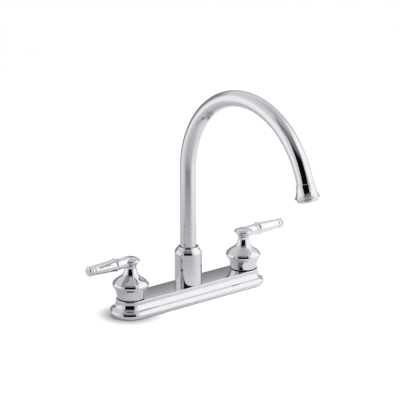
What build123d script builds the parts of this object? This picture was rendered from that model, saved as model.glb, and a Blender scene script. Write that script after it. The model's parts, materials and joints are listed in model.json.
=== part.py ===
from build123d import *
import os

# A two handle kitchen faucet on a long deck plate, with a swivelling gooseneck spout.
# Millimetres. X runs along the plate from the hot handle (-X) to the cold handle (+X), -Y is the
# front, where the spout points, and Z is up. The origin is on the deck, on the spout's axis.

# ---- running and seating clearances ----
running_gap = 0.05        # radial, where one piece turns in another
seat_gap = 0.05           # between stacked pieces that slide on each other
thread_gap = 0.05         # radial, where a nut or a sleeve screws on
solder_gap = 0.05         # radial, where a tube is soldered into its socket

# ---- deck plate ----
handle_centres = 203.2    # 8 inch, the usual spacing of the two supply holes
plate_height = 23.3       # deck to the flat top
plate_top_half = 19.9     # half width of the flat top
plate_lip_half = 28.5     # half width over the lip, and the radius of the plate's ends
plate_foot_half = 28.1    # the lip draws in a little at its foot
plate_edge_round = 0.6
lip_round = 2.9           # height of the lip's rounded upper edge
plate_wall = 2.4          # cast wall
cove_start = 16.0         # height at which the steep side turns out into the cove
cove_low = 11.4           # height of the crease between the cove and the lip
cove_out = 25.2           # half width at that crease
lip_high = 7.0            # height at which the rounded lip is widest
gasket_thickness = 1.0
gasket_inset = 1.2        # gasket edge inside the plate's foot
gasket_width = 5.5        # of its edge strips
gasket_window = (18.0, 80.0)   # the cut-outs run between these distances from the middle

# ---- valve bodies, one under each handle ----
shank_radius = 10.45      # 1/2 inch straight pipe thread
shank_length = 56.0       # below the deck
shank_chamfer = 1.2
relief_depth = 1.0        # groove that ends the lock nut's thread and starts the supply nut's
relief_width = 1.6
relief_below_nut = 0.4
inlet_radius = 6.0
chest_radius = 15.5       # cast chest inside the deck plate
chest_base = 3.0
valve_neck_radius = 12.5  # threaded neck that stands through the plate
valve_neck_top = 38.0
chamber_radius = 9.6      # bore that holds the cartridge
chamber_floor = 6.0
plate_hole_gap = 0.3      # radial, plate hole round the valve neck
port_height = 10.5        # axis of the side port and the crossover tube
crossover_radius = 4.76   # 3/8 inch tube
crossover_wall = 0.9
socket_depth = 3.0

# ---- cartridge ----
seal_thickness = 3.0
seal_radius = 8.9
seal_bore = 6.0
disc_radius = 7.9
disc_thickness = 3.0
port_slot_radius = 4.6    # pitch radius of the kidney ports in both discs
port_slot_width = 3.4
port_slot_sweep = 64.0    # degrees
tongue_width = 4.0        # drive tongue under the stem, in the moving disc's slot
tongue_depth = 1.4
tongue_length = 14.2
disc_gap = 0.03
cartridge_skirt_radius = 8.7   # below the windows, so that water can pass round it
cartridge_head_radius = 11.8
cartridge_head_height = 1.3
cartridge_collar_radius = 7.4
cartridge_top = 44.0
window_width = 7.0
window_low = 15.2
window_high = 21.0
drive_head_height = 3.6
drive_head_width = 9.0

# ---- stem and its fasteners ----
stem_radius = 5.05
stem_square = 7.0
stem_top = 66.3
stem_ring_height = 32.0
ring_section = 1.0        # radius of the stem ring's rubber
clip_groove_radius = 4.2
clip_radius = 7.0
clip_thickness = 0.9
clip_mouth = 3.8
bonnet_nut_across = 26.0
bonnet_nut_low = 33.5
bonnet_lip = 2.2
bonnet_nut_bore = 8.0
plate_nut_radius = 15.6
plate_nut_height = 4.0
notch_width = 4.0
notch_depth = 1.4

# ---- handles ----
handle_gap = 1.0          # plate top to the bell's rim
bell_foot_radius = 19.3
bell_waist_radius = 22.3  # just under the flange
bell_waist_height = 37.3
flange_under_radius = 24.2
flange_under_height = 40.8
flange_radius = 25.6
flange_height = 43.7      # height of the widest line
flange_over_radius = 24.5
flange_over_height = 47.2
bell_flare = 1.1          # the skirt's outward lean at half height
bell_shoulder = (20.3, 51.1)   # radius and height of three points on the bell's double curve
bell_slope = (14.3, 55.0)
bell_throat = (10.8, 58.8)
bell_neck_radius = 8.0
bell_neck_height = 67.0
waist_lean = (0.35, 1)    # the profile's direction at the waist
flange_lean = (1, 0.7)    # where it runs out under the flange
shoulder_lean = (-0.6, 1) # where it comes back over the flange
cap_radius = 13.4
cap_rim_rise = 1.3        # rim of the cap over the lever's axis
cap_rim_half = 1.5
cap_rim_round = 0.7
cap_top_radius = 7.5
cap_dome = 4.3            # rim to the edge of the crown
cap_lean = (-0.8, 1)      # the dome's direction off the rim
cap_crown = 0.6
bell_wall = 2.3
flange_wall = 3.0
core_floor = 52.0         # underside of the solid core round the stem's square
core_roof_radius = 12.5
square_play = 0.1
lever_height = 76.6       # axis of the lever; the cap stands on this size
boss_start = 6.5          # centre of the boss's rounded inner end, from the handle axis
lever_root = 14.0         # joint face between the boss and the lever, from the handle axis
lever_neck_radius = 7.6
lever_spigot_radius = 3.0
lever_spigot_length = 6.0
lever_length = 72.5       # handle axis to the lever's end
lever_ring_start = 20.2
ring_small_width = 2.6
ring_valley = 0.5         # how far the groove between the rings lies under the small one
lever_ring_small = 8.9
lever_ring_large = 9.7
lever_ring_end = 28.4
grip_root_radius = 8.6
grip_tip_radius = 6.8
tip_grooves = (62.6, 67.6)   # two grooves with a band between them, from the handle axis
groove_width = 1.1
groove_depth = 0.7
tip_round = 1.8
screw_radius = 2.0
screw_length = 6.0
screw_height = 57.0
screw_socket = 2.0        # across flats

# ---- spout hub and sleeve ----
hub_base_radius = 15.5
hub_base = 4.0
hub_flange_radius = 17.0
hub_flange_thickness = 4.0
hub_post_radius = 15.2
hub_post_top = 63.0
hub_bore_radius = 12.2
hub_bore_floor = 22.0
hub_waterway_radius = 7.0
sleeve_radius = 19.4
sleeve_shoulder_height = 71.0
sleeve_top = 77.6
sleeve_lip_radius = 14.6  # outer edge of the narrow flat ring at the top
sleeve_lip_height = 1.2
sleeve_mouth_gap = 1.0    # radial, open ring round the pipe
sleeve_edge = 0.4         # small chamfer on the top ring
washer_thickness = 1.2

# ---- spout ----
pipe_radius = 11.5        # 23 mm tube
pipe_wall = 1.0
bend_height = 188.7       # height at which the bend starts
bend_radius = 123.3
bend_sweep = 164.7        # degrees
outlet_length = 20.9      # end of the bend to the outlet's face
pipe_end_back = 11.0      # the pipe stops this far short of the outlet's face
plug_flange_radius = 14.6
plug_flange_thickness = 3.0
plug_bore_radius = 7.5
plug_foot = 24.0
spigot_length = 14.0
ring_groove_heights = (31.0, 45.0)
spout_ring_section = 1.3

# ---- outlet, measured back from its open face along its own axis ----
housing_length = 24.0
housing_top_radius = 13.1
housing_chamfer = 0.5
housing_flare_start = 14.5
housing_lip_radius = 17.3
housing_lip = 6.3
housing_foot_radius = 16.5
housing_foot = 4.9
outlet_ring_radius = 14.6
outlet_ring_round = 1.6   # rounded lower edge of the ring
outlet_groove = 0.8       # height of the groove between housing and ring
outlet_ring_foot_radius = 13.6
outlet_ring_thread_radius = 12.6
outlet_ring_thread_top = 9.5
insert_radius = 11.2
insert_low = 1.2
insert_thickness = 6.4
insert_hole_radius = 1.05
insert_hole_pitch = 2.9
insert_field = 9.2        # the honeycomb lies within this radius
outlet_washer_width = 2.7

# ---- fasteners under the deck ----
deck_thickness = 12.0     # the sink or counter that the nuts clamp
shank_washer_radius = 19.0
shank_washer_thickness = 2.0
lock_nut_across = 32.0
lock_nut_thickness = 8.0

half_centres = handle_centres / 2
lip_middle = (plate_lip_half - lip_round / 3, lip_high + lip_round)
plate_under = plate_height - plate_wall
cap_rim_height = lever_height + cap_rim_rise
cap_top_height = cap_rim_height + cap_dome
BASE = (Align.CENTER, Align.CENTER, Align.MIN)
sides = {"hot": -1, "cold": 1}


def turn(centre, radius, low, high, mode=Mode.ADD):
    """A cylinder on a vertical axis at X = centre, between two heights."""
    with Locations((centre, 0, low)):
        Cylinder(radius, high - low, align=BASE, mode=mode)


def bore(centre, radius, low, high):
    """The same, cut away."""
    turn(centre, radius, low, high, Mode.SUBTRACT)


def half_plane(centre):
    """An upright drawing plane: local X is the distance from the axis at X = centre, local Y is the height."""
    return Plane(origin=(centre, 0, 0), x_dir=(1, 0, 0), z_dir=(0, -1, 0))


def vertical(centre):
    """The vertical axis at X = centre."""
    return Axis((centre, 0, 0), (0, 0, 1))


def save(part, label):
    """Names a finished piece and writes it."""
    part.label = label
    export_step(part, f"parts/{label}.step")


os.makedirs("parts", exist_ok=True)


# ======== deck plate ========

def plate_outside(plane):
    """Half of the plate's outer section, drawn outwards from the centre line."""
    with BuildSketch(plane) as section:
        with BuildLine():
            top = Polyline((0, gasket_thickness), (0, plate_height),
                           (plate_top_half - plate_edge_round, plate_height))
            edge = TangentArc(top @ 1, (plate_top_half, plate_height - plate_edge_round), tangent=(1, 0))
            wall = Line(edge @ 1, (plate_top_half + plate_edge_round, cove_start))
            cove = TangentArc(wall @ 1, (cove_out, cove_low), tangent=(plate_edge_round, cove_start - plate_height))
            lip = ThreePointArc(cove @ 1, lip_middle, (plate_lip_half, lip_high))
            Polyline(lip @ 1, (plate_foot_half, gasket_thickness), (0, gasket_thickness))
        make_face()
    return section.sketch


def plate_inside(plane):
    """The same for the hollow underneath, one wall thickness in."""
    with BuildSketch(plane) as section:
        with BuildLine():
            Polyline((0, gasket_thickness), (0, plate_under), (plate_top_half - plate_wall, plate_under),
                     (plate_top_half - plate_wall + plate_edge_round, cove_start - plate_wall),
                     (cove_out - plate_wall / 2, cove_low - plate_wall),
                     (plate_foot_half - plate_wall, lip_high), (plate_foot_half - plate_wall, gasket_thickness),
                     close=True)
        make_face()
    return section.sketch


def round_the_plate(draw_section, mode):
    """Carries a half section along both sides of the plate and round its two ends."""
    for side in (-1, 1):
        side_plane = Plane(origin=(-half_centres, 0, 0), x_dir=(0, side, 0), z_dir=(side, 0, 0))
        extrude(draw_section(side_plane), amount=side * handle_centres, mode=mode)
        end_plane = Plane(origin=(side * half_centres, 0, 0), x_dir=(0, -side, 0), z_dir=(-side, 0, 0))
        revolve(draw_section(end_plane), axis=vertical(side * half_centres), revolution_arc=180, mode=mode)


with BuildPart() as escutcheon_plate:
    round_the_plate(plate_outside, Mode.ADD)
    round_the_plate(plate_inside, Mode.SUBTRACT)
    for side in sides.values():
        bore(side * half_centres, valve_neck_radius + plate_hole_gap, plate_under, plate_height)
    bore(0, hub_post_radius + plate_hole_gap, plate_under, plate_height)
save(escutcheon_plate.part, "escutcheon_plate")

gasket_half = plate_foot_half - gasket_inset
with BuildPart() as deck_gasket:
    with BuildSketch():
        SlotCenterToCenter(handle_centres, 2 * gasket_half)
        window_length = gasket_window[1] - gasket_window[0]
        with Locations(*[(side * sum(gasket_window) / 2, 0) for side in sides.values()]):
            Rectangle(window_length, 2 * (gasket_half - gasket_width), mode=Mode.SUBTRACT)
        with Locations(*[(side * half_centres, 0) for side in sides.values()]):
            Circle(shank_radius + plate_hole_gap, mode=Mode.SUBTRACT)
    extrude(amount=gasket_thickness)
save(deck_gasket.part, "deck_gasket")


# ======== fixed pieces of the two valves ========

seal_top = chamber_floor + seal_thickness
moving_disc_low = seal_top + disc_thickness + disc_gap
moving_disc_top = moving_disc_low + disc_thickness
drive_low = moving_disc_top + disc_gap
drive_top = drive_low + drive_head_height
cartridge_head_top = valve_neck_top + cartridge_head_height
bonnet_nut_top = cartridge_head_top + bonnet_lip

for name, side in sides.items():
    axis_x = side * half_centres
    port_x = axis_x - side * chest_radius

    relief_top = -deck_thickness - shank_washer_thickness - lock_nut_thickness - relief_below_nut
    with BuildPart() as valve_body:
        turn(axis_x, shank_radius, -shank_length, relief_top - relief_width)
        turn(axis_x, shank_radius - relief_depth, relief_top - relief_width, relief_top)
        turn(axis_x, shank_radius, relief_top, chest_base)
        turn(axis_x, chest_radius, chest_base, plate_under)
        turn(axis_x, valve_neck_radius, plate_under, valve_neck_top)
        chamfer(valve_body.edges().group_by(Axis.Z)[0], shank_chamfer)
        bore(axis_x, inlet_radius, -shank_length, chamber_floor)
        bore(axis_x, chamber_radius, chamber_floor, valve_neck_top)
        with Locations(Location((port_x, 0, port_height), (0, 90, 0))):
            Cylinder(crossover_radius + solder_gap, 2 * socket_depth, mode=Mode.SUBTRACT)
        with Locations(Location((port_x + side * socket_depth, 0, port_height), (0, 90, 0))):
            Cylinder(crossover_radius - crossover_wall, 2 * socket_depth, mode=Mode.SUBTRACT)
    save(valve_body.part, f"{name}_valve_body")

    with BuildPart() as seat_seal:
        turn(axis_x, seal_radius, chamber_floor, seal_top)
        bore(axis_x, seal_bore, chamber_floor, seal_top)
    save(seat_seal.part, f"{name}_seat_seal")

    with BuildPart() as fixed_disc:
        turn(axis_x, disc_radius, seal_top, seal_top + disc_thickness)
        with BuildSketch(Plane.XY.offset(seal_top)):
            for start in (0, 180):
                port_arc = CenterArc((axis_x, 0), port_slot_radius, start - port_slot_sweep / 2, port_slot_sweep)
                SlotArc(port_arc, port_slot_width)
        extrude(amount=disc_thickness, mode=Mode.SUBTRACT)
    save(fixed_disc.part, f"{name}_fixed_disc")

    # The sleeve drops into the chamber, holds both discs and the seal, and is clamped by its head.
    with BuildPart() as cartridge:
        turn(axis_x, cartridge_skirt_radius, seal_top, window_high)
        turn(axis_x, chamber_radius - thread_gap, window_high, valve_neck_top)
        turn(axis_x, cartridge_head_radius, valve_neck_top, cartridge_head_top)
        turn(axis_x, cartridge_collar_radius, cartridge_head_top, cartridge_top)
        bore(axis_x, disc_radius + running_gap, seal_top, drive_top + seat_gap)
        bore(axis_x, stem_radius + running_gap, seal_top, cartridge_top)
        with Locations((axis_x, 0, window_low)):
            Box(window_width, 2 * chamber_radius, window_high - window_low, align=BASE, mode=Mode.SUBTRACT)
            Box(2 * chamber_radius, window_width, window_high - window_low, align=BASE, mode=Mode.SUBTRACT)
    save(cartridge.part, f"{name}_cartridge")

    with BuildPart() as bonnet_nut:
        with BuildSketch(Plane.XY.offset(bonnet_nut_low)):
            with Locations((axis_x, 0)):
                RegularPolygon(bonnet_nut_across / 2, 6, major_radius=False)
        extrude(amount=bonnet_nut_top - bonnet_nut_low)
        bore(axis_x, valve_neck_radius + thread_gap, bonnet_nut_low, cartridge_head_top)
        bore(axis_x, bonnet_nut_bore, bonnet_nut_low, bonnet_nut_top)
    save(bonnet_nut.part, f"{name}_bonnet_nut")

    with BuildPart() as plate_nut:
        turn(axis_x, plate_nut_radius, plate_height, plate_height + plate_nut_height)
        bore(axis_x, valve_neck_radius + thread_gap, plate_height, plate_height + plate_nut_height)
        with Locations((axis_x, 0, plate_height)):
            with PolarLocations(plate_nut_radius, 4):
                Box(2 * notch_depth, notch_width, plate_nut_height, align=BASE, mode=Mode.SUBTRACT)
    save(plate_nut.part, f"{name}_plate_nut")

    with BuildPart() as shank_washer:
        turn(axis_x, shank_washer_radius, -deck_thickness - shank_washer_thickness, -deck_thickness)
        bore(axis_x, shank_radius + plate_hole_gap, -deck_thickness - shank_washer_thickness, -deck_thickness)
    save(shank_washer.part, f"{name}_shank_washer")

    nut_top = -deck_thickness - shank_washer_thickness
    with BuildPart() as lock_nut:
        with BuildSketch(Plane.XY.offset(nut_top - lock_nut_thickness)):
            with Locations((axis_x, 0)):
                RegularPolygon(lock_nut_across / 2, 6, major_radius=False)
        extrude(amount=lock_nut_thickness)
        bore(axis_x, shank_radius + thread_gap, nut_top - lock_nut_thickness, nut_top)
    save(lock_nut.part, f"{name}_lock_nut")

    crossover_near = half_centres - chest_radius + socket_depth
    crossover_far = hub_base_radius - socket_depth
    with BuildPart() as crossover_tube:
        with BuildSketch(Plane(origin=(side * crossover_far, 0, port_height), x_dir=(0, 1, 0), z_dir=(side, 0, 0))):
            Circle(crossover_radius)
            Circle(crossover_radius - crossover_wall, mode=Mode.SUBTRACT)
        extrude(amount=crossover_near - crossover_far)
    save(crossover_tube.part, f"{name}_crossover_tube")


# ======== moving pieces of the two handles ========

def bell_outside(plane):
    """The bell, its neck and its cap, turned in one profile."""
    foot_height = plate_height + handle_gap
    with BuildSketch(plane) as section:
        with BuildLine():
            foot = Line((0, foot_height), (bell_foot_radius, foot_height))
            skirt = Spline(foot @ 1, (bell_foot_radius + bell_flare, (foot_height + bell_waist_height) / 2),
                           (bell_waist_radius, bell_waist_height), tangents=((0, 1), waist_lean))
            under = Spline(skirt @ 1, (flange_under_radius, flange_under_height), tangents=(waist_lean, flange_lean))
            flange = ThreePointArc(under @ 1, (flange_radius, flange_height),
                                   (flange_over_radius, flange_over_height))
            shoulder = Spline(flange @ 1, bell_shoulder, bell_slope, bell_throat,
                              (bell_neck_radius, bell_neck_height), tangents=(shoulder_lean, (0, 1)))
            cup = TangentArc(shoulder @ 1, (cap_radius - cap_rim_round, cap_rim_height - cap_rim_half),
                             tangent=(0, 1))
            rim = ThreePointArc(cup @ 1, (cap_radius, cap_rim_height),
                                (cap_radius - cap_rim_round, cap_rim_height + cap_rim_half))
            dome = Spline(rim @ 1, (cap_top_radius, cap_top_height), (0, cap_top_height + cap_crown),
                          tangents=(cap_lean, (-1, 0)))
            Line(dome @ 1, foot @ 0)
        make_face()
    return section.sketch


def bell_inside(plane):
    """The hollow that clears the nuts, up to the solid core."""
    rim = plate_height + handle_gap
    with BuildSketch(plane) as section:
        with BuildLine():
            Polyline((0, rim), (bell_foot_radius - bell_wall, rim),
                     (bell_foot_radius + bell_flare - bell_wall, (rim + bell_waist_height) / 2),
                     (bell_waist_radius - bell_wall, bell_waist_height),
                     (flange_radius - flange_wall, flange_height),
                     (flange_over_radius - flange_wall, flange_over_height - bell_wall / 2),
                     (core_roof_radius, core_floor), (0, core_floor), close=True)
        make_face()
    return section.sketch


def boss_outside(plane):
    """The boss that joins the cap to the lever, with a round inner end that blends into the cap."""
    with BuildSketch(plane) as section:
        with BuildLine():
            inner_end = CenterArc((boss_start, 0), lever_neck_radius, 90, 90)
            Polyline(inner_end @ 0, (lever_root, lever_neck_radius), (lever_root, 0), inner_end @ 1)
        make_face()
    return section.sketch


def lever_outside(plane):
    """The lever from its joint face to its end: neck, double ring, tapered grip, two grooves and end knob."""
    with BuildSketch(plane) as section:
        with BuildLine():
            start = Line((lever_root, 0), (lever_root, lever_neck_radius))
            neck = Line(start @ 1, (lever_ring_start, lever_neck_radius))
            small = ThreePointArc(neck @ 1, (lever_ring_start + ring_small_width / 2, lever_ring_small),
                                  (lever_ring_start + ring_small_width, lever_ring_small - ring_valley))
            large = ThreePointArc(small @ 1, ((lever_ring_start + ring_small_width + lever_ring_end) / 2,
                                              lever_ring_large), (lever_ring_end, grip_root_radius))
            before = large
            for groove_start in tip_grooves:
                outer = Line(before @ 1, (groove_start, grip_tip_radius))
                before = ThreePointArc(outer @ 1, (groove_start + groove_width / 2, grip_tip_radius - groove_depth),
                                       (groove_start + groove_width, grip_tip_radius))
            knob = Line(before @ 1, (lever_length - tip_round, grip_tip_radius))
            end = TangentArc(knob @ 1, (lever_length, grip_tip_radius - tip_round), tangent=(1, 0))
            Polyline(end @ 1, (lever_length, 0), start @ 0)
        make_face()
    return section.sketch


for name, side in sides.items():
    axis_x = side * half_centres

    with BuildPart() as moving_disc:
        turn(axis_x, disc_radius, moving_disc_low, moving_disc_top)
        with BuildSketch(Plane.XY.offset(moving_disc_low)):
            for start in (90, 270):
                port_arc = CenterArc((axis_x, 0), port_slot_radius, start - port_slot_sweep / 2, port_slot_sweep)
                SlotArc(port_arc, port_slot_width)
        extrude(amount=disc_thickness, mode=Mode.SUBTRACT)
        with Locations((axis_x, 0, drive_low - tongue_depth - disc_gap)):
            Box(2 * disc_radius, tongue_width + 2 * seat_gap, 2 * tongue_depth, align=BASE, mode=Mode.SUBTRACT)
    save(moving_disc.part, f"{name}_moving_disc")

    ring_groove_low = stem_ring_height - ring_section
    ring_floor = stem_radius - 2 * ring_section
    with BuildPart() as stem:
        with BuildSketch(Plane.XY.offset(drive_low)):
            with Locations((axis_x, 0)):
                Circle(disc_radius)
                Rectangle(2 * disc_radius, drive_head_width, mode=Mode.INTERSECT)
        extrude(amount=drive_head_height)
        with Locations((axis_x, 0, drive_low - tongue_depth)):
            Box(tongue_length, tongue_width, tongue_depth, align=BASE)
        turn(axis_x, stem_radius, drive_top, cartridge_top + 2 * clip_thickness)
        with Locations((axis_x, 0, cartridge_top)):
            Box(stem_square, stem_square, stem_top - cartridge_top, align=BASE)
        for low, high, floor in ((ring_groove_low, ring_groove_low + 2 * ring_section, ring_floor),
                                 (cartridge_top + seat_gap, cartridge_top + seat_gap + clip_thickness,
                                  clip_groove_radius)):
            with BuildSketch(Plane.XY.offset(low)):
                with Locations((axis_x, 0)):
                    Circle(2 * stem_radius)
                    Circle(floor, mode=Mode.SUBTRACT)
            extrude(amount=high - low, mode=Mode.SUBTRACT)
    save(stem.part, f"{name}_stem")

    with BuildPart() as stem_ring:
        with BuildSketch(half_plane(axis_x)):
            with Locations((ring_floor + ring_section, stem_ring_height)):
                Circle(ring_section)
        revolve(axis=vertical(axis_x))
    save(stem_ring.part, f"{name}_stem_ring")

    with BuildPart() as stem_clip:
        with BuildSketch(Plane.XY.offset(cartridge_top + seat_gap)):
            with Locations((axis_x, 0)):
                Circle(clip_radius)
                Circle(clip_groove_radius, mode=Mode.SUBTRACT)
            with Locations((axis_x, side * clip_radius)):
                Rectangle(clip_mouth, 2 * clip_radius, mode=Mode.SUBTRACT)
        extrude(amount=clip_thickness)
    save(stem_clip.part, f"{name}_stem_clip")

    lever_plane = Plane(origin=(axis_x, 0, lever_height), x_dir=(side, 0, 0), z_dir=(0, -side, 0))
    lever_axis = Axis((axis_x, 0, lever_height), (1, 0, 0))
    socket_foot = (axis_x + side * (lever_root - lever_spigot_length), 0, lever_height)
    socket_plane = Plane(origin=socket_foot, x_dir=(0, 1, 0), z_dir=(side, 0, 0))
    screw_plane = Plane(origin=(axis_x, stem_square / 2, screw_height), x_dir=(1, 0, 0), z_dir=(0, 1, 0))

    with BuildPart() as bell:
        revolve(bell_outside(half_plane(axis_x)), axis=vertical(axis_x))
        revolve(boss_outside(lever_plane), axis=lever_axis)
        revolve(bell_inside(half_plane(axis_x)), axis=vertical(axis_x), mode=Mode.SUBTRACT)
        with Locations((axis_x, 0, core_floor)):
            Box(stem_square + 2 * square_play, stem_square + 2 * square_play, stem_top - core_floor + square_play,
                align=BASE, mode=Mode.SUBTRACT)
        with BuildSketch(screw_plane):
            Circle(screw_radius + thread_gap)
        extrude(amount=flange_radius, mode=Mode.SUBTRACT)
        with BuildSketch(socket_plane):
            Circle(lever_spigot_radius + thread_gap)
        extrude(amount=lever_spigot_length, mode=Mode.SUBTRACT)
    save(bell.part, f"{name}_handle_bell")

    with BuildPart() as lever:
        revolve(lever_outside(lever_plane), axis=lever_axis)
        with BuildSketch(socket_plane.offset(seat_gap)):
            Circle(lever_spigot_radius)
        extrude(amount=lever_spigot_length)
    save(lever.part, f"{name}_lever")

    with BuildPart() as set_screw:
        with BuildSketch(screw_plane):
            Circle(screw_radius)
        extrude(amount=screw_length)
        with BuildSketch(screw_plane.offset(screw_length / 2)):
            RegularPolygon(screw_socket / 2, 6, major_radius=False)
        extrude(amount=screw_length, mode=Mode.SUBTRACT)
    save(set_screw.part, f"{name}_set_screw")


# ======== spout hub, sleeve and washers ========

lower_washer_top = hub_post_top + washer_thickness
plug_flange_low = lower_washer_top + seat_gap
plug_flange_top = plug_flange_low + plug_flange_thickness
upper_washer_low = plug_flange_top + seat_gap
upper_washer_top = upper_washer_low + washer_thickness
washer_radius = hub_post_radius - 2 * running_gap
mouth_radius = pipe_radius + sleeve_mouth_gap

with BuildPart() as spout_hub:
    turn(0, hub_base_radius, hub_base, plate_under)
    turn(0, hub_flange_radius, plate_under - hub_flange_thickness, plate_under)
    turn(0, hub_post_radius, plate_under, hub_post_top)
    bore(0, hub_bore_radius, hub_bore_floor, hub_post_top)
    bore(0, hub_waterway_radius, port_height - crossover_radius, hub_bore_floor)
    for side in sides.values():
        with Locations(Location((side * hub_base_radius, 0, port_height), (0, 90, 0))):
            Cylinder(crossover_radius + solder_gap, 2 * socket_depth, mode=Mode.SUBTRACT)
        with Locations(Location((side * (hub_base_radius - socket_depth), 0, port_height), (0, 90, 0))):
            Cylinder(crossover_radius - crossover_wall, 4 * socket_depth, mode=Mode.SUBTRACT)
save(spout_hub.part, "spout_hub")

with BuildPart() as spout_sleeve:
    with BuildSketch(half_plane(0)):
        with BuildLine():
            Polyline((0, sleeve_top), (0, plate_height), (sleeve_radius, plate_height),
                     (sleeve_radius, sleeve_shoulder_height))
            shoulder_top = (sleeve_lip_radius + sleeve_edge, sleeve_top - sleeve_lip_height)
            TangentArc((sleeve_radius, sleeve_shoulder_height), shoulder_top, tangent=(0, 1))
            Polyline(shoulder_top, (sleeve_lip_radius, sleeve_top - sleeve_lip_height),
                     (sleeve_lip_radius, sleeve_top - sleeve_edge), (sleeve_lip_radius - sleeve_edge, sleeve_top),
                     (0, sleeve_top))
        make_face()
    revolve(axis=Axis.Z)
    bore(0, hub_post_radius + thread_gap, plate_height, upper_washer_top)
    bore(0, mouth_radius, plate_height, sleeve_top)
save(spout_sleeve.part, "spout_sleeve")

for name, low in (("lower_spout_washer", hub_post_top), ("upper_spout_washer", upper_washer_low)):
    with BuildPart() as spout_washer:
        turn(0, washer_radius, low, low + washer_thickness)
        bore(0, mouth_radius + running_gap, low, low + washer_thickness)
    save(spout_washer.part, name)


# ======== spout: base plug, rings, pipe and outlet ========

plug_radius = hub_bore_radius - running_gap
plug_ring_floor = plug_radius + running_gap / 2 - 2 * spout_ring_section

with BuildPart() as spout_plug:
    turn(0, plug_radius, plug_foot, plug_flange_low)
    turn(0, plug_flange_radius, plug_flange_low, plug_flange_top)
    turn(0, pipe_radius - pipe_wall - solder_gap, plug_flange_top, plug_flange_top + spigot_length)
    for height in ring_groove_heights:
        with BuildSketch(Plane.XY.offset(height - spout_ring_section)):
            Circle(hub_post_radius)
            Circle(plug_ring_floor, mode=Mode.SUBTRACT)
        extrude(amount=2 * spout_ring_section, mode=Mode.SUBTRACT)
    bore(0, plug_bore_radius, plug_foot, plug_flange_top + spigot_length)
save(spout_plug.part, "spout_plug")

with BuildPart() as spout_rings:
    with BuildSketch(half_plane(0)):
        for height in ring_groove_heights:
            with Locations((plug_ring_floor + spout_ring_section, height)):
                Circle(spout_ring_section)
    revolve(axis=Axis.Z)
save(spout_rings.part, "spout_rings")

# The pipe's centre line lies in the YZ plane: straight up, one round bend, and a short straight end.
with BuildLine(Plane(origin=(0, 0, 0), x_dir=(0, -1, 0), z_dir=(-1, 0, 0))) as centre_line:
    riser = Line((0, plug_flange_top), (0, bend_height))
    bend = CenterArc((bend_radius, bend_height), bend_radius, 180, -bend_sweep)
    tail = Line(bend @ 1, bend @ 1 + (bend % 1) * (outlet_length - pipe_end_back))
outlet_point = bend @ 1 + (bend % 1) * outlet_length
upstream = (bend % 1) * -1
outlet_axis = Axis(outlet_point, upstream)
outlet_plane = Plane(origin=outlet_point, x_dir=(1, 0, 0), z_dir=upstream)
outlet_half_plane = Plane(origin=outlet_point, x_dir=(1, 0, 0), z_dir=Vector(1, 0, 0).cross(upstream))

with BuildPart() as gooseneck_pipe:
    with BuildSketch(Plane.XY.offset(plug_flange_top)):
        Circle(pipe_radius)
        Circle(pipe_radius - pipe_wall, mode=Mode.SUBTRACT)
    sweep(path=centre_line.line)
save(gooseneck_pipe.part, "gooseneck_pipe")

with BuildPart() as outlet_housing:
    with BuildSketch(outlet_half_plane):
        with BuildLine():
            collar = Polyline((pipe_radius + solder_gap, pipe_end_back), (pipe_radius + solder_gap, housing_length),
                              (housing_top_radius - housing_chamfer, housing_length),
                              (housing_top_radius, housing_length - housing_chamfer),
                              (housing_top_radius, housing_flare_start))
            flare = TangentArc(collar @ 1, (housing_lip_radius, housing_lip), tangent=(0, -1))
            lip = ThreePointArc(flare @ 1, (housing_lip_radius, (housing_lip + housing_foot) / 2),
                                (housing_foot_radius, housing_foot))
            Polyline(lip @ 1, (outlet_ring_thread_radius + thread_gap, housing_foot),
                     (outlet_ring_thread_radius + thread_gap, outlet_ring_thread_top),
                     (pipe_radius - pipe_wall, outlet_ring_thread_top), (pipe_radius - pipe_wall, pipe_end_back),
                     collar @ 0)
        make_face()
    revolve(axis=outlet_axis)
save(outlet_housing.part, "outlet_housing")

ring_bore = insert_radius + thread_gap
with BuildPart() as outlet_ring:
    with BuildSketch(outlet_half_plane):
        with BuildLine():
            rim = TangentArc((outlet_ring_radius, outlet_ring_round), (outlet_ring_foot_radius, 0),
                             tangent=(0, -1))
            Polyline(rim @ 0, (outlet_ring_radius, housing_foot - outlet_groove),
                     (outlet_ring_foot_radius, housing_foot - seat_gap),
                     (outlet_ring_thread_radius, housing_foot - seat_gap),
                     (outlet_ring_thread_radius, outlet_ring_thread_top - seat_gap),
                     (ring_bore, outlet_ring_thread_top - seat_gap), (ring_bore, insert_low),
                     (insert_radius - insert_low, insert_low), (insert_radius - insert_low, 0), rim @ 1)
        make_face()
    revolve(axis=outlet_axis)
save(outlet_ring.part, "outlet_ring")

insert_top = insert_low + insert_thickness
with BuildPart() as outlet_insert:
    with BuildSketch(outlet_plane.offset(insert_low)):
        Circle(insert_radius)
        rows = int(2 * insert_field / insert_hole_pitch) + 2
        with HexLocations(insert_hole_pitch / 2, rows, rows, major_radius=False) as cells:
            inner_cells = [place for place in cells.local_locations if place.position.length < insert_field]
        with Locations(*inner_cells):
            RegularPolygon(insert_hole_radius, 6, major_radius=False, mode=Mode.SUBTRACT)
    extrude(amount=insert_thickness)
save(outlet_insert.part, "outlet_insert")

washer_low = insert_top + seat_gap
with BuildPart() as outlet_washer:
    with BuildSketch(outlet_plane.offset(washer_low)):
        Circle(insert_radius)
        Circle(insert_radius - outlet_washer_width, mode=Mode.SUBTRACT)
    extrude(amount=outlet_ring_thread_top - seat_gap - washer_low)
save(outlet_washer.part, "outlet_washer")
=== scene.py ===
import json
import math

import bpy
from mathutils import Matrix, Vector


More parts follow.
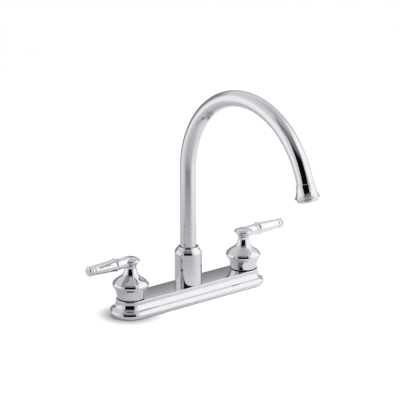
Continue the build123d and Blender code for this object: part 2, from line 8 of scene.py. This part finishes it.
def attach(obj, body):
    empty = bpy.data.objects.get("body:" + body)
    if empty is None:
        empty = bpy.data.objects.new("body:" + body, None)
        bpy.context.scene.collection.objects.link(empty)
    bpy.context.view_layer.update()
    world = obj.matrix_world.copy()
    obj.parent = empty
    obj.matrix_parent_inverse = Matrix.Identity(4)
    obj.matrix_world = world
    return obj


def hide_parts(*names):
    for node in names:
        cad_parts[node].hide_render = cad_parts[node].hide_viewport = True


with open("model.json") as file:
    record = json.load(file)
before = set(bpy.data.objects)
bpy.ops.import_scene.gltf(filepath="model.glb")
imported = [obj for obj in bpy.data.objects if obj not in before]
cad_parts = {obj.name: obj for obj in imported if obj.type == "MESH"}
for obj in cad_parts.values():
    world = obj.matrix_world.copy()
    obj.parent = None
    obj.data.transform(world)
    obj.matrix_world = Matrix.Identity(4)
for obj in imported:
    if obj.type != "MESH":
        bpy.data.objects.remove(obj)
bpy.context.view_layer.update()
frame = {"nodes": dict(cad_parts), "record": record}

# A two handle kitchen faucet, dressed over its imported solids. Blender works in metres, and the sizes
# below are in millimetres. X runs from the hot handle to the cold one, -Y is the front, Z is up.
MM = 0.001
sides = {"hot": -1, "cold": 1}

# ---- sizes shared with the solids ----
half_centres = 101.6      # handle axis to spout axis
pipe_radius = 11.5
pipe_wall = 1.0
pipe_foot = 67.3
bend_height = 188.7
bend_radius = 123.3
bend_sweep = 164.7        # degrees
outlet_length = 20.9      # end of the bend to the outlet's open face
pipe_end_back = 11.0      # the pipe ends this far short of that face
lever_height = 76.6       # axis of the levers

# ---- sizes of the scene alone ----
plate_centres = 102.6     # centre of the plate's round ends to spout axis, 1 mm more than in the solids
thread_centre = 10.35     # radius on which the V ridge's section is centred, just under the shank's skin
thread_low = -54.0        # the supply nut's thread under the deck, below the relief groove
thread_high = -24.7
thread_pitch = 1.814      # 14 to the inch
thread_ridge = 0.6        # centre to corner of the V

# ---- how finely the pieces are made ----
lathe_sides = 64          # round a turned piece, before it is subdivided
subdivisions = 2
hold_passes = 12          # in which the control rings settle
end_steps = 48            # round each end of the plate
thread_steps = 24         # in one turn
pipe_sides = 96
pipe_courses = 8          # up the pipe's straight foot
bend_steps = 72
merge_distance = 0.01
smooth_angle = math.radians(45)    # sharper edges stay sharp

# ---- profiles ----
# Each point is a distance from the axis, or from the plate's middle line, and a height or, on the levers
# and the outlet, a distance along the axis: a lever's from the handle's axis outwards, and the outlet's
# back from its open face.
plate_profile = [(12.0, 20.9), (16.0, 20.9), (17.0, 20.5), (17.6, 16.0), (21.0, 10.2), (24.4, 8.0),
                 (25.6, 5.0), (25.7, 1.4), (26.0, 1.0), (27.3, 0.95), (28.0, 1.1), (28.65, 1.7),
                 (28.95, 2.7), (29.05, 4.0), (28.95, 5.4), (28.55, 6.9), (27.85, 8.3), (26.8, 9.6),
                 (25.6, 10.5), (24.3, 11.2), (23.0, 12.1), (21.95, 13.4), (21.15, 15.1), (20.6, 17.0),
                 (20.2, 19.2), (20.0, 21.2), (19.88, 22.4), (19.65, 23.0), (19.1, 23.25), (17.0, 23.33),
                 (13.0, 23.45), (8.0, 23.55), (2.5, 23.6)]
bell_hollow = [(5.0, 66.3), (5.0, 60.0), (5.0, 52.6), (5.6, 52.0), (12.0, 52.0), (15.0, 50.2),
               (21.0, 46.0), (22.4, 43.7), (20.2, 38.0), (18.2, 31.0), (17.1, 26.0), (17.0, 24.6),
               (17.3, 24.3)]
bell_skirt = [(18.1, 24.35), (18.8, 24.7), (19.25, 25.5), (19.4, 27.5), (20.1, 31.0), (21.1, 34.4),
              (22.0, 36.7), (22.9, 38.6), (24.2, 40.6), (25.1, 42.0), (25.55, 43.1), (25.5, 44.5),
              (24.95, 46.2), (23.9, 47.8), (22.1, 49.6), (19.6, 51.5), (16.7, 53.4), (13.9, 55.3),
              (11.8, 57.3), (10.4, 59.6), (9.45, 62.3), (8.7, 65.0), (8.2, 67.4), (8.25, 69.3),
              (8.75, 71.1), (9.8, 73.0), (11.4, 75.0), (12.7, 76.4), (13.35, 77.4), (13.4, 78.4),
              (12.7, 79.5), (10.6, 81.0), (7.5, 82.2), (3.8, 82.7), (1.0, 82.8)]
lever_profile = [(1.0, -1.0), (3.8, 0.0), (6.0, 1.9), (7.2, 4.2), (7.6, 6.8), (7.6, 10.0), (7.6, 14.0),
                 (7.55, 17.0), (7.6, 18.4), (7.85, 19.7), (8.2, 20.9), (8.4, 21.9), (8.3, 22.7),
                 (8.45, 23.6), (8.95, 25.0), (9.4, 26.1), (9.45, 26.8), (9.05, 27.7), (8.65, 28.6),
                 (8.4, 33.0), (8.0, 41.0), (7.5, 50.0), (7.0, 59.0), (6.85, 61.8), (6.7, 62.5),
                 (6.15, 62.9), (6.15, 63.4), (6.7, 63.8), (6.85, 64.5), (6.85, 66.8), (6.7, 67.5),
                 (6.15, 67.9), (6.15, 68.4), (6.7, 68.8), (6.85, 69.6), (6.7, 70.9), (6.0, 72.0),
                 (4.6, 72.5), (1.0, 72.5)]
sleeve_profile = [(18.7, 24.2), (19.2, 24.45), (19.4, 25.2), (19.4, 45.0), (19.4, 66.0), (19.37, 68.8),
                  (19.05, 70.5), (18.2, 72.3), (17.0, 74.0), (15.8, 75.4), (15.1, 76.1), (14.75, 76.5),
                  (14.6, 76.9), (14.5, 77.4), (14.1, 77.6), (13.0, 77.6), (12.6, 77.3), (12.5, 76.5),
                  (12.5, 73.0), (12.5, 69.5), (12.9, 68.9), (15.0, 68.9), (15.25, 68.0), (15.25, 45.0),
                  (15.25, 25.2), (15.4, 24.3), (15.9, 24.2)]
housing_profile = [(11.55, 11.0), (11.55, 17.0), (11.55, 23.4), (11.7, 24.0), (12.7, 24.0),
                   (13.0, 23.8), (13.1, 23.1), (13.1, 20.5), (13.2, 17.8), (13.55, 15.2), (14.1, 12.7),
                   (14.85, 10.3), (15.8, 8.1), (16.75, 6.5), (17.2, 5.7), (16.8, 5.1), (15.5, 4.9),
                   (13.0, 4.9), (12.65, 5.2), (12.65, 7.0), (12.65, 9.2), (12.4, 9.5), (10.7, 9.5),
                   (10.5, 9.8), (10.5, 10.7), (10.8, 11.0)]
ring_profile = [(12.4, 0.1), (13.3, 0.9), (14.1, 2.1), (14.7, 3.3), (14.9, 4.2), (14.6, 4.75),
                (13.8, 4.9), (12.8, 4.95), (12.6, 5.4), (12.6, 7.0), (12.6, 9.0), (12.4, 9.4),
                (11.4, 9.4), (11.25, 9.1), (11.25, 5.0), (11.25, 1.5), (11.0, 1.2), (10.2, 1.2),
                (10.0, 1.0), (10.0, 0.3), (10.3, 0.05), (11.6, 0.0)]
# A dark ring fills the gap under the spout's collar: painted shade, standing in for the shade in that
# gap.
foot_gap_shade_profile = [(15.6, 23.7), (15.6, 24.3), (15.8, 24.4), (18.5, 24.4), (18.75, 24.2), (18.75, 23.7)]
# A dark ring fills the gap under each bell: painted shade, standing in for the shade in that gap.
gap_shade_profile = [(16.95, 23.7), (16.95, 24.4), (17.1, 24.7), (18.2, 24.7), (18.4, 24.4), (18.4, 23.7)]


# ======== modelling helpers ========

def start_over():
    """Leaves edit mode with nothing selected, so that an operator acts on the new piece alone."""
    if bpy.context.mode != "OBJECT":
        bpy.ops.object.mode_set(mode="OBJECT")
    bpy.ops.object.select_all(action="DESELECT")


def hold(points, loop):
    """Moves control rings outwards so that the subdivided surface runs through the wanted points."""
    rings = [Vector(p) for p in points]
    wanted = [ring.copy() for ring in rings]
    for _ in range(hold_passes):
        for i, ring in enumerate(rings):
            if not loop and i in (0, len(rings) - 1):
                continue
            limit = (rings[i - 1] + 4 * ring + rings[(i + 1) % len(rings)]) / 6
            rings[i] = ring + wanted[i] - limit
    return rings


def subdivide(piece):
    """Smooths a piece by subdivision, the same in the view and in the render."""
    smooth = piece.modifiers.new("smooth", "SUBSURF")
    smooth.levels = smooth.render_levels = subdivisions


def turned(profile, loop=False):
    """Turns a profile as on a lathe: a circle is extruded and scaled from ring to ring up the Z axis."""
    start_over()
    rings = hold(profile, loop)
    if loop:
        rings.append(rings[0])
    bpy.ops.mesh.primitive_circle_add(vertices=lathe_sides, radius=rings[0].x * MM,
                                      location=(0, 0, rings[0].y * MM))
    bpy.ops.object.mode_set(mode="EDIT")
    bpy.ops.mesh.select_all(action="SELECT")
    if not loop:
        bpy.ops.mesh.edge_face_add()
        bpy.ops.mesh.select_all(action="SELECT")
    for low, high in zip(rings, rings[1:]):
        bpy.ops.mesh.extrude_region_move(TRANSFORM_OT_translate={"value": (0, 0, (high.y - low.y) * MM)})
        ratio = high.x / low.x
        bpy.ops.transform.resize(value=(ratio, ratio, 1), center_override=(0, 0, high.y * MM))
    bpy.ops.object.mode_set(mode="OBJECT")
    subdivide(bpy.context.active_object)
    return bpy.context.active_object


def finish_piece(name, body, finish, nodes=(), place=None, look=None):
    """Applies the active piece's place and modifiers, and gives it its name, body and finish."""
    piece = bpy.context.active_object
    if place is not None:
        piece.matrix_world = place @ piece.matrix_world
    bpy.ops.object.transform_apply(location=True, rotation=True, scale=True)
    bpy.ops.object.mode_set(mode="EDIT")
    bpy.ops.mesh.select_all(action="SELECT")
    bpy.ops.mesh.remove_doubles(threshold=merge_distance * MM)
    bpy.ops.mesh.normals_make_consistent(inside=False)
    bpy.ops.object.mode_set(mode="OBJECT")
    for modifier in list(piece.modifiers):
        bpy.ops.object.modifier_apply(modifier=modifier.name)
    bpy.ops.object.shade_smooth_by_angle(angle=smooth_angle)
    piece.name = name
    piece.data.name = name
    piece.data.materials.clear()
    piece.data.materials.append(materials[look or finish])
    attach(piece, body)
    if nodes:
        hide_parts(*nodes)


# ======== materials ========

def linear(code):
    """sRGB hex to linear RGBA."""
    channels = [int(code[i:i + 2], 16) / 255 for i in (1, 3, 5)]
    return [c / 12.92 if c <= 0.04045 else ((c + 0.055) / 1.055) ** 2.4 for c in channels] + [1.0]


def add(tree, kind, inputs=None, **settings):
    """Adds a node, sets what it has, and fills or links its sockets."""
    made = tree.nodes.new(kind)
    for key, value in settings.items():
        setattr(made, key, value)
    for key, value in (inputs or {}).items():
        if isinstance(value, bpy.types.NodeSocket):
            tree.links.new(value, made.inputs[key])
        else:
            made.inputs[key].default_value = value
    return made


materials = {}


def finish_of(name, colours, metallic, roughness, grain, bump, ior=None, stretch=(1, 1, 1)):
    """One finish: two tones and two gloss levels mottled at the grain's size in mm, with a bump in mm."""
    made = bpy.data.materials.new(name)
    made.use_nodes = True
    tree = made.node_tree
    tree.nodes.clear()
    place = add(tree, "ShaderNodeTexCoord")
    scaled = add(tree, "ShaderNodeMapping", {"Vector": place.outputs["Object"], "Scale": stretch})
    noise = add(tree, "ShaderNodeTexNoise", {"Vector": scaled.outputs[0], "Scale": 1 / (grain * MM),
                                             "Detail": 3.0})
    tone = add(tree, "ShaderNodeValToRGB", {"Fac": noise.outputs[0]})
    for element, position, colour in zip(tone.color_ramp.elements, (0.3, 0.7), colours):
        element.position = position
        element.color = linear(colour)
    gloss = add(tree, "ShaderNodeMapRange", {"Value": noise.outputs[0], "To Min": roughness[0],
                                             "To Max": roughness[1]})
    relief = add(tree, "ShaderNodeBump", {"Height": noise.outputs[0], "Strength": 1.0,
                                          "Distance": bump * MM})
    shader = add(tree, "ShaderNodeBsdfPrincipled", {"Base Color": tone.outputs[0],
                                                    "Roughness": gloss.outputs[0],
                                                    "Normal": relief.outputs[0], "Metallic": metallic})
    if ior:
        shader.inputs["IOR"].default_value = ior
    add(tree, "ShaderNodeOutputMaterial", {"Surface": shader.outputs[0]})
    materials[name] = made


# Bright nickel under chrome, buffed: a mirror with a very faint unevenness a few millimetres across.
finish_of("polished_chrome", ("#d8d8dd", "#dadadf"), metallic=1.0, roughness=(0.02, 0.035), grain=9.0,
          bump=0.00002)
# The levers' chrome, a brighter copy of the same chrome: painted light, as the levers show more light.
finish_of("lever_chrome_painted_brighter", ("#e0e0e4", "#e3e3e7"), metallic=1.0, roughness=(0.02, 0.035), grain=9.0,
          bump=0.00002)
# Free-cutting brass off the lathe: yellow and satin, with fine tool marks round it.
finish_of("brass", ("#b08d4a", "#c7a765"), metallic=1.0, roughness=(0.22, 0.34), grain=0.9, bump=0.01,
          stretch=(0.2, 0.2, 1))
# Drawn copper tube, gone dull.
finish_of("copper", ("#a5623f", "#c07c58"), metallic=1.0, roughness=(0.3, 0.42), grain=2.5, bump=0.01)
# Moulded nitrile rubber, with the mould's fine matt texture.
finish_of("rubber", ("#141414", "#1e1e1e"), metallic=0.0, roughness=(0.5, 0.65), grain=0.6, bump=0.02,
          ior=1.52)
# Lapped alumina discs, cream white and nearly polished.
finish_of("ceramic", ("#e7e4dc", "#f2f0ea"), metallic=0.0, roughness=(0.12, 0.2), grain=1.2, bump=0.002,
          ior=1.77)
# Moulded acetal, slightly waxy.
finish_of("white_plastic", ("#d9d9d6", "#e6e6e3"), metallic=0.0, roughness=(0.35, 0.45), grain=1.0,
          bump=0.01, ior=1.48)
# Turned stainless steel.
finish_of("steel", ("#a9a9a8", "#bdbdbc"), metallic=1.0, roughness=(0.25, 0.35), grain=0.7, bump=0.01,
          stretch=(0.2, 0.2, 1))

slots = {row["node"]: row["material_slot"] for row in frame["record"]["subparts"]}
for name, piece in frame["nodes"].items():
    piece.data.materials.clear()
    piece.data.materials.append(materials[slots[name]])


# ======== deck plate ========

# Half of the section is drawn at one end, then spun round that end, drawn out along the plate, spun round
# the other end and drawn back. Short runs beside the ends keep the straight sides straight.
rings = hold(plate_profile, loop=False)
end_step = math.pi * plate_profile[-1][0] / end_steps
start_over()
first_point = (plate_centres * MM, rings[0].x * MM, rings[0].y * MM)
bpy.ops.mesh.primitive_plane_add(size=MM, location=first_point)
bpy.ops.object.mode_set(mode="EDIT")
bpy.ops.mesh.select_all(action="SELECT")
bpy.ops.mesh.merge(type="CENTER")
for low, high in zip(rings, rings[1:]):
    outwards, upwards = high.x - low.x, high.y - low.y
    bpy.ops.mesh.extrude_region_move(TRANSFORM_OT_translate={"value": (0, outwards * MM, upwards * MM)})
bpy.ops.mesh.select_all(action="SELECT")
for side in (1, -1):
    bpy.ops.mesh.spin(steps=end_steps, angle=math.pi, center=(side * plate_centres * MM, 0, 0),
                      axis=(0, 0, 1))
    for run in (end_step, 2 * plate_centres - 2 * end_step, end_step):
        bpy.ops.mesh.extrude_region_move(TRANSFORM_OT_translate={"value": (-side * run * MM, 0, 0)})
bpy.ops.mesh.select_all(action="SELECT")
bpy.ops.mesh.remove_doubles(threshold=merge_distance * MM)
bpy.ops.mesh.select_mode(type="EDGE")
bpy.ops.mesh.select_all(action="DESELECT")
bpy.ops.mesh.select_non_manifold()
bpy.ops.mesh.edge_face_add()
bpy.ops.object.mode_set(mode="OBJECT")
subdivide(bpy.context.active_object)
finish_piece("deck_plate", "body", "polished_chrome", ["escutcheon_plate"])


# ======== handles ========

def activate(piece):
    """Makes one piece the only selected and the active one."""
    start_over()
    piece.select_set(True)
    bpy.context.view_layer.objects.active = piece


def with_copy(piece):
    """A piece and its copy with a mesh of its own, for the hot and the cold side."""
    activate(piece)
    bpy.ops.object.duplicate()
    bpy.context.view_layer.update()
    return piece, bpy.context.active_object


def helix(radius, low, high):
    """Winds a right-handed V ridge round a shank: its section is extruded, lifted and turned by steps."""
    start_over()
    bpy.ops.mesh.primitive_circle_add(vertices=3, radius=thread_ridge * MM,
                                      location=(radius * MM, 0, low * MM),
                                      rotation=(math.pi / 2, math.pi / 2, 0))
    bpy.ops.object.transform_apply(location=True, rotation=True, scale=True)
    bpy.ops.object.mode_set(mode="EDIT")
    bpy.ops.mesh.select_all(action="SELECT")
    bpy.ops.mesh.edge_face_add()
    lift = (0, 0, thread_pitch / thread_steps * MM)
    for _ in range(int((high - low) / thread_pitch * thread_steps)):
        bpy.ops.mesh.extrude_region_move(TRANSFORM_OT_translate={"value": lift})
        bpy.ops.transform.rotate(value=-2 * math.pi / thread_steps, orient_axis="Z",
                                 center_override=(0, 0, 0))
    bpy.ops.object.mode_set(mode="OBJECT")
    return bpy.context.active_object


bells = with_copy(turned(bell_hollow + bell_skirt))
levers = with_copy(turned(lever_profile))
# Under each bell a dark rubber ring fills the gap to the plate: painted shade in that gap.
gap_shade_rings = with_copy(turned(gap_shade_profile, loop=True))
threads = with_copy(helix(thread_centre, thread_low, thread_high))
for i, (name, side) in enumerate(sides.items()):
    body = f"{name}_handle"
    at_handle = Matrix.Translation((side * half_centres * MM, 0, 0))
    activate(bells[i])
    finish_piece(f"{name}_bell", body, "polished_chrome", [f"{name}_handle_bell"], at_handle)
    at_lever = at_handle @ Matrix.Translation((0, 0, lever_height * MM))
    outward = at_lever @ Matrix.Rotation(side * math.pi / 2, 4, "Y")
    activate(levers[i])
    finish_piece(f"{name}_lever_grip", body, "polished_chrome", [f"{name}_lever"], outward,
                 look="lever_chrome_painted_brighter")
    activate(gap_shade_rings[i])
    finish_piece(f"{name}_gap_shade_ring", body, "rubber", place=at_handle)
    activate(threads[i])
    finish_piece(f"{name}_shank_thread", "body", "brass", place=at_handle)


# ======== spout ========

turned(sleeve_profile, loop=True)
finish_piece("spout_collar", "body", "polished_chrome", ["spout_sleeve"])
# Under the collar a dark rubber ring fills the gap to the plate: painted shade in that gap.
turned(foot_gap_shade_profile, loop=True)
finish_piece("spout_foot_gap_shade_ring", "body", "rubber")

start_over()
bpy.ops.mesh.primitive_circle_add(vertices=pipe_sides, radius=pipe_radius * MM,
                                  location=(0, 0, pipe_foot * MM))
bpy.ops.object.mode_set(mode="EDIT")
bpy.ops.mesh.select_all(action="SELECT")
course = (0, 0, (bend_height - pipe_foot) / pipe_courses * MM)
for _ in range(pipe_courses):
    bpy.ops.mesh.extrude_region_move(TRANSFORM_OT_translate={"value": course})
lean = math.radians(bend_sweep)
bpy.ops.mesh.spin(steps=bend_steps, angle=-lean, center=(0, -bend_radius * MM, bend_height * MM),
                  axis=(1, 0, 0))
tail = (outlet_length - pipe_end_back) * MM
end_run = (0, -math.sin(lean) * tail, math.cos(lean) * tail)
bpy.ops.mesh.extrude_region_move(TRANSFORM_OT_translate={"value": end_run})
bpy.ops.object.mode_set(mode="OBJECT")
pipe = bpy.context.active_object
wall = pipe.modifiers.new("wall", "SOLIDIFY")
wall.thickness = pipe_wall * MM
wall.offset = -1
finish_piece("gooseneck", "spout", "polished_chrome", ["gooseneck_pipe"])

bend_end = Vector((0, -bend_radius * (1 - math.cos(lean)), bend_height + bend_radius * math.sin(lean)))
flow = Vector((0, -math.sin(lean), math.cos(lean)))
outlet_turn = (-flow).to_track_quat("Z", "X").to_matrix().to_4x4()
outlet_place = Matrix.Translation((bend_end + flow * outlet_length) * MM) @ outlet_turn
turned(housing_profile, loop=True)
finish_piece("outlet_body", "spout", "polished_chrome", ["outlet_housing"], outlet_place)
turned(ring_profile, loop=True)
finish_piece("outlet_trim", "spout", "polished_chrome", ["outlet_ring"], outlet_place)


# ======== studio ========

camera_aim = Vector((-16.566, -138.034, 2817.0)) * MM    # across, upward and ahead, camera to origin
camera_turn = math.radians(39.119)
camera_dip = math.radians(17.16)
picture_width = 400       # pixels
focal_length = 1993       # pixels
sensor_width = 36.0
ahead = Vector((math.sin(camera_turn) * math.cos(camera_dip),
                math.cos(camera_turn) * math.cos(camera_dip), -math.sin(camera_dip)))
across = Vector((math.cos(camera_turn), -math.sin(camera_turn), 0))
upward = across.cross(ahead)
camera_data = bpy.data.cameras.new("camera")
camera_data.sensor_width = sensor_width
camera_data.lens = sensor_width * focal_length / picture_width
camera = bpy.data.objects.new("camera", camera_data)
camera.location = -(across * camera_aim.x + upward * camera_aim.y + ahead * camera_aim.z)
camera.rotation_euler = (math.pi / 2 - camera_dip, 0, -camera_turn)
bpy.context.scene.collection.objects.link(camera)
bpy.context.scene.camera = camera

# The floor's sizes are in metres: places along an axis, or distances from the spout's foot.
floor_size = 2.6
paper_fades = (0.12, 1.15)     # seen in metal, the paper gives way to the tent between these distances
# The paper's glow in metal is painted light: a pool round the spout's foot and more towards the cold
# side.
near_spout = (0.08, 0.2)       # a pool of more light round the spout's foot fades out between these
before_spout = (-0.03, 0.0)    # and between these, since it lies only in front
painted_pool_glow = 0.2
hot_to_cold = (-0.08, 0.18)    # the paper's own glow rises from the hot side to the cold one
painted_side_glow = (0.02, 0.34)
# By the plate's hot end a painted shadow: the paper's lift to white falls off there by distance.
painted_shadow_fades = (0.026, 0.053)  # distance from the centre of the plate's hot end
paper_lift = 0.52              # what makes the paper white to the camera outside that shadow
# Towards the cold side plain white is painted over the object's shadow.
white_from = (-0.14, 0.02)     # towards the cold side it turns plain white
white_share = 0.8
white_level = 1.1
start_over()
bpy.ops.mesh.primitive_plane_add(size=floor_size, location=(0, 0, 0))
floor = bpy.context.active_object
floor.name = "floor"
paper = bpy.data.materials.new("white_sweep_paper")
paper.use_nodes = True
tree = paper.node_tree
tree.nodes.clear()


def step(value, start, end, low, high):
    """A smooth step of a node value from low to high."""
    ramp = {"Value": value, "From Min": start, "From Max": end, "To Min": low, "To Max": high}
    return add(tree, "ShaderNodeMapRange", ramp, interpolation_type="SMOOTHSTEP").outputs[0]


path = add(tree, "ShaderNodeLightPath")
position = add(tree, "ShaderNodeTexCoord").outputs["Object"]
axes = add(tree, "ShaderNodeSeparateXYZ", {"Vector": position})
distance = add(tree, "ShaderNodeVectorMath", {0: position}, operation="LENGTH").outputs["Value"]
# In metal the paper shows painted light, brighter on the cold side and in front, and far out it gives way
# to the tent.
pool = add(tree, "ShaderNodeMath", {0: step(distance, *near_spout, painted_pool_glow, 0.0),
                                    1: step(axes.outputs["Y"], *before_spout, 1.0, 0.0)},
           operation="MULTIPLY")
glow = add(tree, "ShaderNodeMath", {0: step(axes.outputs["X"], *hot_to_cold, *painted_side_glow),
                                    1: pool.outputs[0]}, operation="ADD")
sheet = add(tree, "ShaderNodeBsdfDiffuse", {"Color": linear("#f4f4f4")})
lamp = add(tree, "ShaderNodeEmission", {"Color": linear("#ffffff"), "Strength": glow.outputs[0]})
glowing = add(tree, "ShaderNodeAddShader", {0: sheet.outputs[0], 1: lamp.outputs[0]})
beyond = add(tree, "ShaderNodeBsdfTransparent")
reflected = add(tree, "ShaderNodeMixShader", {0: step(distance, *paper_fades, 0.0, 1.0),
                                              1: glowing.outputs[0], 2: beyond.outputs[0]})
lit = add(tree, "ShaderNodeMixShader", {0: path.outputs["Is Glossy Ray"], 1: sheet.outputs[0],
                                        2: reflected.outputs[0]})
# To the camera it is white, with the object's soft shadow on the hot side: partly the real shadow on the
# sheet, deepened by a painted shadow round the plate's hot end, and painted over with white towards the
# cold side.
hot_end = add(tree, "ShaderNodeVectorMath", {0: position, 1: (-plate_centres * MM, 0, 0)},
              operation="DISTANCE")
lift = step(hot_end.outputs["Value"], *painted_shadow_fades, 0.0, paper_lift)
matt = add(tree, "ShaderNodeEmission", {"Color": linear("#ffffff"), "Strength": lift})
lifted = add(tree, "ShaderNodeAddShader", {0: sheet.outputs[0], 1: matt.outputs[0]})
white = add(tree, "ShaderNodeEmission", {"Color": linear("#ffffff"), "Strength": white_level})
faded = add(tree, "ShaderNodeMixShader", {0: step(axes.outputs["X"], *white_from, 0.0, white_share),
                                          1: lifted.outputs[0], 2: white.outputs[0]})
shown = add(tree, "ShaderNodeMixShader", {0: path.outputs["Is Camera Ray"], 1: lit.outputs[0],
                                          2: faded.outputs[0]})
add(tree, "ShaderNodeOutputMaterial", {"Surface": shown.outputs[0]})
floor.data.materials.append(paper)

# The tent round the object: its light by direction. Azimuth 0 is the front and +90 the cold side, and
# elevation 0 is level, in degrees.
world = bpy.data.worlds.new("studio")
bpy.context.scene.world = world
world.use_nodes = True
tree = world.node_tree
tree.nodes.clear()
direction = add(tree, "ShaderNodeTexCoord").outputs["Generated"]
axes = add(tree, "ShaderNodeSeparateXYZ", {"Vector": direction})
to_front = add(tree, "ShaderNodeMath", {0: axes.outputs["Y"], 1: -1.0}, operation="MULTIPLY")
azimuth = add(tree, "ShaderNodeMath", {0: axes.outputs["X"], 1: to_front.outputs[0]}, operation="ARCTAN2")
elevation = add(tree, "ShaderNodeMath", {0: axes.outputs["Z"]}, operation="ARCSINE")


def fade(angle, start, end, low, high):
    """A smooth step of light between two angles in degrees."""
    return step(angle.outputs[0], math.radians(start), math.radians(end), low, high)


def card(light, level, left, right, top):
    """Lays a lit or dark card over the tent. Each soft edge is given by where it starts and ends."""
    cover = 1.0
    for angle, (start, end) in ((azimuth, left), (azimuth, right[::-1]), (elevation, top[::-1])):
        edge = fade(angle, min(start, end), max(start, end), float(start > end), float(start < end))
        cover = add(tree, "ShaderNodeMath", {0: edge, 1: cover}, operation="MULTIPLY").outputs[0]
    return add(tree, "ShaderNodeMix", {"Factor": cover, "A": light, "B": level}).outputs[0]


# Plain walls, dim near the floor, and a dimmer roof.
walls = fade(elevation, 15, 29, low=0.27, high=0.82)
roof = fade(elevation, 50, 85, low=0.0, high=-0.24)
light = add(tree, "ShaderNodeMath", {0: walls, 1: roof}, operation="ADD").outputs[0]
# Lit cards: behind the hot side, in front of the cold side, and a low one behind the cold side.
light = card(light, 1.16, left=(-176, -146), right=(-110, -82), top=(14, 38))
light = card(light, 1.27, left=(0, 24), right=(84, 100), top=(48, 64))
light = card(light, 1.27, left=(96, 112), right=(136, 156), top=(6, 13))
# On the camera's side a card that is light low down and grey high up, and a black one over its middle.
graded = fade(elevation, 28, 42, low=0.86, high=0.27)
light = card(light, graded, left=(-110, -84), right=(-4, 14), top=(56, 84))
light = card(light, 0.004, left=(-79, -75), right=(-7, -3), top=(34, 48))
tent = add(tree, "ShaderNodeBackground", {"Color": linear("#ffffff"), "Strength": light})
white = add(tree, "ShaderNodeBackground", {"Color": linear("#ffffff"), "Strength": 1.0})
path = add(tree, "ShaderNodeLightPath")
seen = add(tree, "ShaderNodeMixShader", {0: path.outputs["Is Camera Ray"], 1: tent.outputs[0],
                                         2: white.outputs[0]})
add(tree, "ShaderNodeOutputWorld", {"Surface": seen.outputs[0]})

bpy.context.scene.view_settings.view_transform = "Standard"
